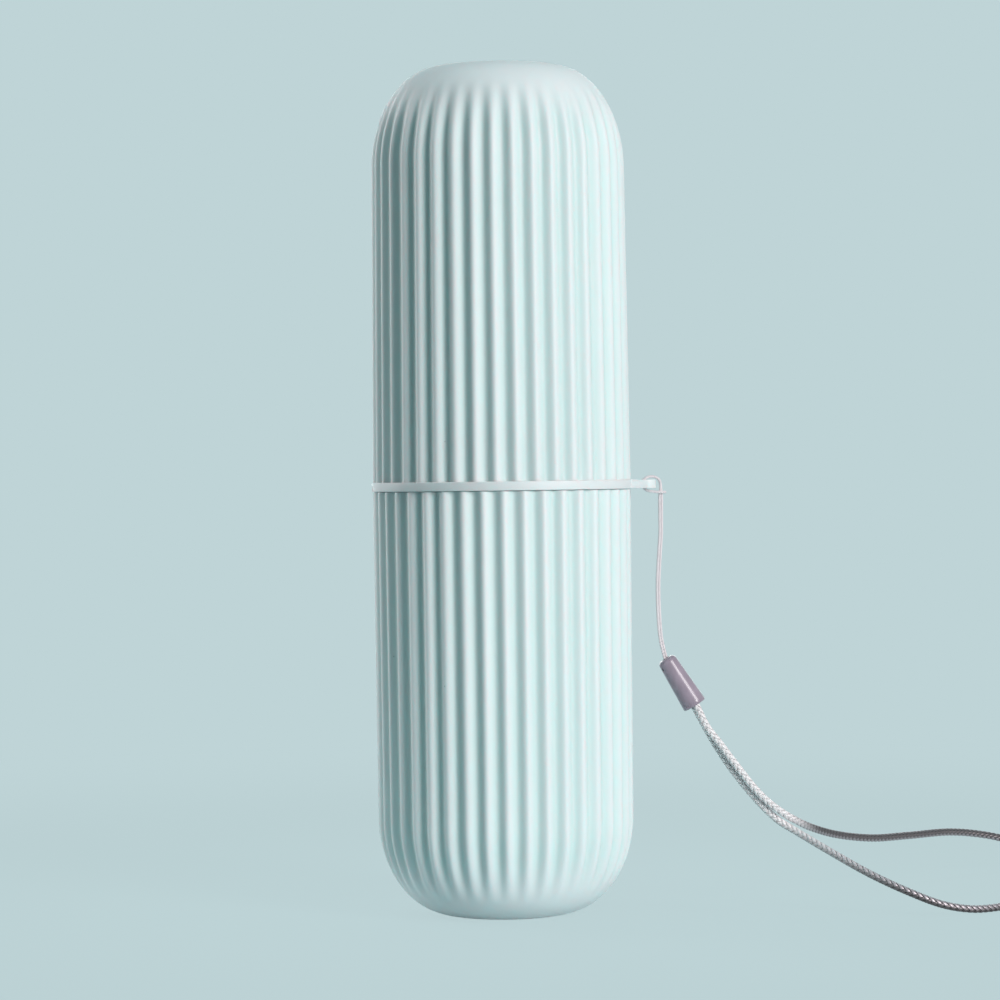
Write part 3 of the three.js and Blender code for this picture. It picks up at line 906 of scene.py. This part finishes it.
def wound_strand(path, frames, turn_at, radius_at):
    """Middle of a strand that winds round a path, and the direction away from the path, at each point."""
    places, away = [], []
    travelled = 0.0
    for i, (point, (normal, across)) in enumerate(zip(path, frames)):
        travelled += (point - path[i - 1]).length if i else 0.0
        turn = turn_at(travelled)
        outward = normal * math.cos(turn) + across * math.sin(turn)
        places.append(point + outward * radius_at(turn))
        away.append(outward)
    return places, away


def yarn_mesh(name, strands, step):
    """One mesh of closed strands. Each is (places, outward directions, half width, half thickness, tone).

    The UV map holds the way round a strand plus its tone, and the distance along the cord in millimetres.
    """
    vertices, faces, uvs = [], [], []
    sides = STRAND_SIDES
    for places, away, half_width, half_thickness, tone in strands:
        first = len(vertices)
        travelled = [i * step / MM for i in range(len(places))]
        for place, outward, along in zip(places, away, directions(places)):
            width = along.cross(outward).normalized()
            rise = width.cross(along)
            for j in range(sides):
                at = FULL_TURN * j / sides
                side = place + width * half_width * math.cos(at)
                vertices.append(side + rise * half_thickness * math.sin(at))
        for i in range(len(places) - 1):
            for j in range(sides):
                ring, ahead = first + i * sides, first + (i + 1) * sides
                beside = (j + 1) % sides
                faces.append((ring + j, ahead + j, ahead + beside, ring + beside))
                u, v = (tone + j / sides, tone + (j + 1) / sides), (travelled[i], travelled[i + 1])
                uvs += [(u[0], v[0]), (u[0], v[1]), (u[1], v[1]), (u[1], v[0])]
        last = len(vertices) - sides
        faces.append(tuple(range(first, first + sides)))
        faces.append(tuple(reversed(range(last, last + sides))))
        uvs += [(tone + 0.5, travelled[0])] * sides + [(tone + 0.5, travelled[-1])] * sides
    mesh = bpy.data.meshes.new(name)
    mesh.from_pydata(vertices, [], faces)
    layer = mesh.uv_layers.new(name="yarn")
    layer.data.foreach_set("uv", [value for uv in uvs for value in uv])
    piece = bpy.data.objects.new(name, mesh)
    bpy.context.scene.collection.objects.link(piece)
    return piece


def in_bead(sizes, drop, side, depth):
    """Point inside the hanging bead: down its axis, to the side in the plane of its tilt, and along Y."""
    sin, cos = math.sin(sizes.bead_tilt), math.cos(sizes.bead_tilt)
    return Vector(sizes.bead_top) + Vector((drop * sin + side * cos, depth, side * sin - drop * cos))


def leader_strand(sizes, side):
    """One strand of the leader from the bead up to the lug, in front (-1) or behind (1)."""
    half = side * sizes.pair_gap / 2
    drops = (sizes.crimp_from - CORD_END, LEADER_BEND_DROP, 0)
    across, depth = -half * math.sin(sizes.pair_turn), half * math.cos(sizes.pair_turn)
    inside = [in_bead(sizes, drop, across, depth) for drop in drops]
    hanging = [Vector((x * MM + across, depth, z * MM)) for x, z in LEADER_ROUTE]
    return [*inside, *reversed(hanging)]


def hitch_turn(sizes, bar, side):
    """One strand's turn round the bar of the lug: up outside, over the top, down the slot and under."""
    half = sizes.pair_gap / 2
    points = []
    for i in range(HITCH_STEPS + 1):
        at = 3 * QUARTER * i / HITCH_STEPS
        depth = half + (sizes.collar_radius - half) * i / HITCH_STEPS
        out, up = sizes.hitch_reach * math.cos(at), sizes.hitch_rise * math.sin(at)
        points.append(bar + Vector((out, side * depth, up)))
    return points


def hitch_collar(sizes, bar):
    """Collar of the hitch: under the bar, round the outside of both strands and back."""
    centre = bar + Vector((sizes.hitch_reach - COLLAR_INSET, 0, -sizes.hitch_rise - COLLAR_DROP))
    turns = [(2 * i / COLLAR_STEPS - 1) * QUARTER for i in range(COLLAR_STEPS + 1)]
    return [centre + Vector((math.cos(at), math.sin(at), 0)) * sizes.collar_radius for at in turns]


def leader_points(case, sizes):
    """Whole leader: one strand up, round the bar, round the pair, round the bar again and down."""
    bar = Vector((LUG_REACH - case.bar_width / 2, 0, FLANGE_FOOT + case.flange_thickness / 2))
    front = [*leader_strand(sizes, -1), *hitch_turn(sizes, bar, -1)]
    back = [*leader_strand(sizes, 1), *hitch_turn(sizes, bar, 1)]
    return [*front, *hitch_collar(sizes, bar), *reversed(back)]


def wrist_points(sizes):
    """Wrist cord out of the bead's mouth, round its loop and back in."""
    drops = (sizes.crimp_to + CORD_END, sizes.bead_length)
    out = [in_bead(sizes, drop, MOUTH_SIDE, -MOUTH_DEPTH) for drop in drops]
    back = [in_bead(sizes, drop, -MOUTH_SIDE, MOUTH_DEPTH) for drop in reversed(drops)]
    return [*out, *(Vector(point) * MM for point in WRIST_ROUTE), *back]


# Operators, one for each piece or group of like pieces


class CASE_OT_stage(bpy.types.Operator):
    """Set up the camera, the floor and the studio light"""

    bl_idname = "brush_case.stage"
    bl_label = "Stage"

    def execute(self, context):
        stage, colours = context.scene.case_stage, context.scene.case_colours
        self.add_camera(context, stage)
        self.add_floor(colours)
        self.add_world(context, stage, colours)
        self.add_softbox("key", *KEY_BOX, stage.key_power, LAMP_COLOUR)
        self.add_softbox("rim", *RIM_BOX, stage.rim_power, RIM_COLOUR)
        self.add_softbox("top", *TOP_BOX, stage.top_power, TOP_COLOUR)
        self.add_softbox("back", *BACK_BOX, stage.back_power, LAMP_COLOUR)
        context.scene.view_settings.view_transform = "Standard"
        return {"FINISHED"}

    def add_camera(self, context, stage):
        data = bpy.data.cameras.new("camera")
        data.lens = stage.focal_length
        data.shift_x, data.shift_y = stage.shift
        data.clip_start, data.clip_end = CLIP_START, CLIP_END
        camera = bpy.data.objects.new("camera", data)
        camera.location = (0, -stage.camera_distance, stage.camera_height)
        camera.rotation_euler = (QUARTER, stage.camera_roll, 0)
        context.scene.collection.objects.link(camera)
        context.scene.camera = camera

    def add_floor(self, colours):
        deselect()
        bpy.ops.mesh.primitive_circle_add(
            vertices=FLOOR_SIDES, radius=FLOOR_RADIUS, fill_type="NGON", location=(0, 0, -FLOOR_DROP)
        )
        floor = start_piece("floor")
        floor.data.materials.append(floor_paint(colours))

    def add_world(self, context, stage, colours):
        world = bpy.data.worlds.new("studio")
        context.scene.world = world
        finish = Finish(world)
        light = finish.node("ShaderNodeBackground", {}, {"Color": AMBIENT_COLOUR, "Strength": stage.ambient})
        plain = finish.node("ShaderNodeBackground", {}, {"Color": (*colours.backdrop, 1), "Strength": 1})
        mixed = finish.node("ShaderNodeMixShader", {}, {0: seen_directly(finish), 1: light, 2: plain})
        finish.node("ShaderNodeOutputWorld", {}, {"Surface": mixed})

    def add_softbox(self, name, place, size, watts, tint):
        data = bpy.data.lights.new(name, "AREA")
        data.shape = "RECTANGLE"
        data.size, data.size_y = size
        data.energy = watts
        data.color = tint
        lamp = bpy.data.objects.new(name, data)
        lamp.location = place
        aim = Vector((0, 0, CASE_HEIGHT / 2)) - Vector(place)
        lamp.rotation_euler = aim.to_track_quat("-Z", "Y").to_euler()
        bpy.context.scene.collection.objects.link(lamp)


class CASE_OT_leader(bpy.types.Operator):
    """Lay the three-ply leader from the bead round the lug's bar and back"""

    bl_idname = "brush_case.leader"
    bl_label = "Leader cord"

    def execute(self, context):
        case, sizes = context.scene.case_sizes, context.scene.case_lanyard
        path = smooth_route(leader_points(case, sizes), sizes.leader_lay / LEADER_STEPS)
        frames = sides_of(path, (0, 1, 0))
        ply = sizes.leader_diameter * PLY_SHARE
        offset = sizes.leader_diameter / 2 - ply
        strands = []
        for k in range(PLIES):
            start = FULL_TURN * k / PLIES
            places, away = wound_strand(
                path, frames, lambda s: start + FULL_TURN * s / sizes.leader_lay, lambda turn: offset
            )
            strands.append((places, away, ply, ply, 0))
        cord = yarn_mesh("leader", strands, route_length(path) / (len(path) - 1))
        finish_piece(cord, "lanyard", "leader_cord", leader_yarn(context.scene.case_colours))
        in_bead(sizes, 0, 0, 0)
        route_length(path)
        return {"FINISHED"}


class CASE_OT_wrist_cord(bpy.types.Operator):
    """Braid the wrist cord of eight strands along its loop"""

    bl_idname = "brush_case.wrist_cord"
    bl_label = "Wrist cord"

    def execute(self, context):
        sizes = context.scene.case_lanyard
        path = smooth_route(wrist_points(sizes), sizes.wrist_lay / WRIST_STEPS)
        frames = sides_of(path, (0, -1, 0))
        middle = sizes.wrist_diameter / 2 - STRAND_HALF_THICKNESS - STRAND_WAVE
        strands = []
        for way in (1, -1):
            for k in range(STRANDS_EACH_WAY):
                start = FULL_TURN / STRANDS_EACH_WAY * (k + 0.5 * (way < 0))
                places, away = wound_strand(
                    path,
                    frames,
                    lambda s: start + way * FULL_TURN * s / sizes.wrist_lay,
                    lambda turn: middle + way * STRAND_WAVE * math.cos(2 * (turn - CHEVRON_TURN)),
                )
                # A strand's lay, given as its tone, picks its painted glint or its painted dark reflection out
                # on the loop
                strands.append((places, away, STRAND_HALF_WIDTH, STRAND_HALF_THICKNESS, int(way < 0)))
        strands.append((path, [normal for normal, _ in frames], middle, middle, 0))
        length = route_length(path)
        cord = yarn_mesh("wrist_strap", strands, length / (len(path) - 1))
        material = satin_braid(context.scene.case_colours, length)
        finish_piece(cord, "lanyard", "wrist_cord", material)
        in_bead(sizes, sizes.bead_length, 0, 0)
        return {"FINISHED"}


class CASE_OT_lower_cup(bpy.types.Operator):
    """Turn the lower cup with its ribs, neck and hollow"""

    bl_idname = "brush_case.lower_cup"
    bl_label = "Lower cup"

    def execute(self, context):
        sizes = context.scene.case_sizes
        cup = sizes.lower
        rim = cup.height + sizes.rim_lift
        wall = upright("case_bottom", sizes, cup, outer_profile(sizes, cup, rim - sizes.rim_round))
        sink_valleys(wall, sizes, cup, lambda z: z)
        roll_rim(wall, sizes)
        inside = [*neck_profile(sizes, cup), *hollow_profile(sizes, cup)]
        close_shell(wall, upright("case_bottom_inside", sizes, cup, inside))
        material = mint_plastic("mint_plastic_bottom", sizes, cup, 0, context.scene.case_colours)
        finish_piece(wall, "lower_cup", "lower_cup", material)
        return {"FINISHED"}


class CASE_OT_upper_cup(bpy.types.Operator):
    """Turn the upper cup with its ribs, rim flange, socket and lug"""

    bl_idname = "brush_case.upper_cup"
    bl_label = "Upper cup"

    def execute(self, context):
        sizes = context.scene.case_sizes
        cup = sizes.upper
        outside = outer_profile(sizes, cup, cup.height - sizes.flange_thickness)
        wall = upright("case_top", sizes, cup, [(radius, CASE_HEIGHT - drop) for radius, drop in outside])
        sink_valleys(wall, sizes, cup, lambda z: CASE_HEIGHT - z)
        hollow = [(radius, CASE_HEIGHT - drop) for radius, drop in hollow_profile(sizes, cup)]
        close_shell(wall, upright("case_top_inside", sizes, cup, [*flange_profile(sizes, cup), *hollow]))
        combine(wall, make_lug(sizes), "UNION")
        material = mint_plastic("mint_plastic_top", sizes, cup, CASE_HEIGHT, context.scene.case_colours)
        finish_piece(wall, "upper_cup", "upper_cup", material)
        return {"FINISHED"}


class CASE_OT_seal_ring(bpy.types.Operator):
    """Turn the seal ring with the fine parting ridge of its mould"""

    bl_idname = "brush_case.seal_ring"
    bl_label = "Seal ring"

    def execute(self, context):
        sizes = context.scene.case_sizes
        section = []
        for i in range(SEAL_POINTS + 1):
            at = FULL_TURN * i / SEAL_POINTS
            radius = sizes.seal_section - SEAL_RIDGE * (i % (SEAL_POINTS // 2) != 0)
            section.append((sizes.seal_radius + radius * math.cos(at), SEAL_Z + radius * math.sin(at)))
        ring = lathe("sealing_ring", section, SEAL_COLUMNS, Vector(), Vector((0, 0, 1)), Vector((1, 0, 0)))
        material = milky_silicone(context.scene.case_colours)
        finish_piece(ring, "seal_ring", "seal_ring", material)
        return {"FINISHED"}


class CASE_OT_bead(bpy.types.Operator):
    """Turn the tapered bead where the leader and the wrist cord meet, and finish the crimp inside it"""

    bl_idname = "brush_case.bead"
    bl_label = "Bead and crimp"

    def execute(self, context):
        sizes, colours = context.scene.case_lanyard, context.scene.case_colours
        axis = (in_bead(sizes, 1, 0, 0) - in_bead(sizes, 0, 0, 0)).normalized()
        outward = (in_bead(sizes, 0, 1, 0) - in_bead(sizes, 0, 0, 0)).normalized()
        bead = lathe("bead", self.profile(sizes), BEAD_COLUMNS, in_bead(sizes, 0, 0, 0), axis, outward)
        gate = in_bead(sizes, *GATE_PLACE)
        deselect()
        bpy.ops.mesh.primitive_ico_sphere_add(subdivisions=3, radius=GATE_RADIUS, location=gate)
        combine(bead, start_piece("gate_dimple"), "DIFFERENCE")
        finish_piece(bead, "lanyard", "strap_bead", bead_plastic(colours, gate))
        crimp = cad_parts["strap_crimp"]
        crimp.data.materials.clear()
        crimp.data.materials.append(pressed_metal(colours))
        return {"FINISHED"}

    def profile(self, sizes):
        """Closed section of the bead: up its bore, out over its rounded top and down its taper."""
        def radius(drop):
            grow = (sizes.bead_mouth_radius - sizes.bead_top_radius) / sizes.bead_length
            return sizes.bead_top_radius + grow * drop

        end, edge = sizes.bead_length, sizes.bead_round
        taper = end - BEAD_LIP - edge
        rows = [edge + taper * i / BEAD_ROWS for i in range(1, BEAD_ROWS + 1)]
        rounded = arc((radius(edge) - edge, -edge), edge, 0, 1, BEAD_TOP_STEPS)
        return [
            (sizes.bead_eye, sizes.bead_cap),
            (radius(sizes.bead_cap) - sizes.bead_wall, sizes.bead_cap),
            (radius(end) - sizes.bead_wall, end - EYE_LIP),
            (radius(end) - sizes.bead_wall + EYE_LIP, end),
            (radius(end) - BEAD_LIP, end),
            *((radius(drop), drop) for drop in reversed(rows)),
            *((across, -along) for across, along in rounded),
            (sizes.bead_eye + EYE_LIP, 0),
            (sizes.bead_eye, EYE_LIP),
            (sizes.bead_eye, sizes.bead_cap),
        ]


class CASE_PT_panel(bpy.types.Panel):
    """Lists the pieces of the case and the sizes and colours that they take"""

    bl_idname = "CASE_PT_panel"
    bl_label = "Travel Toothbrush Case"
    bl_space_type = "VIEW_3D"
    bl_region_type = "UI"
    bl_category = "Case"

    def draw(self, context):
        scene = context.scene
        for operator in OPERATORS:
            self.layout.operator(operator.bl_idname)
        groups = (scene.case_sizes, scene.case_sizes.lower, scene.case_sizes.upper, scene.case_lanyard)
        for group in (*groups, scene.case_colours, scene.case_stage):
            box = self.layout.box()
            for name in group.__annotations__:
                if name not in ("lower", "upper"):
                    box.prop(group, name)


GROUPS = (LowerCupSizes, UpperCupSizes, CaseSizes, LanyardSizes, CaseColours, StageSettings)
OPERATORS = (
    CASE_OT_stage,
    CASE_OT_leader,
    CASE_OT_wrist_cord,
    CASE_OT_lower_cup,
    CASE_OT_upper_cup,
    CASE_OT_seal_ring,
    CASE_OT_bead,
)
CLASSES = (*GROUPS, *OPERATORS, CASE_PT_panel)


def register():
    for made in CLASSES:
        bpy.utils.register_class(made)
    bpy.types.Scene.case_sizes = bpy.props.PointerProperty(type=CaseSizes)
    bpy.types.Scene.case_lanyard = bpy.props.PointerProperty(type=LanyardSizes)
    bpy.types.Scene.case_colours = bpy.props.PointerProperty(type=CaseColours)
    bpy.types.Scene.case_stage = bpy.props.PointerProperty(type=StageSettings)


def unregister():
    for name in ("case_sizes", "case_lanyard", "case_colours", "case_stage"):
        delattr(bpy.types.Scene, name)
    for made in reversed(CLASSES):
        bpy.utils.unregister_class(made)


def main():
    register()
    bpy.ops.brush_case.stage()
    bpy.ops.brush_case.leader()
    bpy.ops.brush_case.wrist_cord()
    bpy.ops.brush_case.lower_cup()
    bpy.ops.brush_case.upper_cup()
    bpy.ops.brush_case.seal_ring()
    bpy.ops.brush_case.bead()


if __name__ == "__main__":
    main()
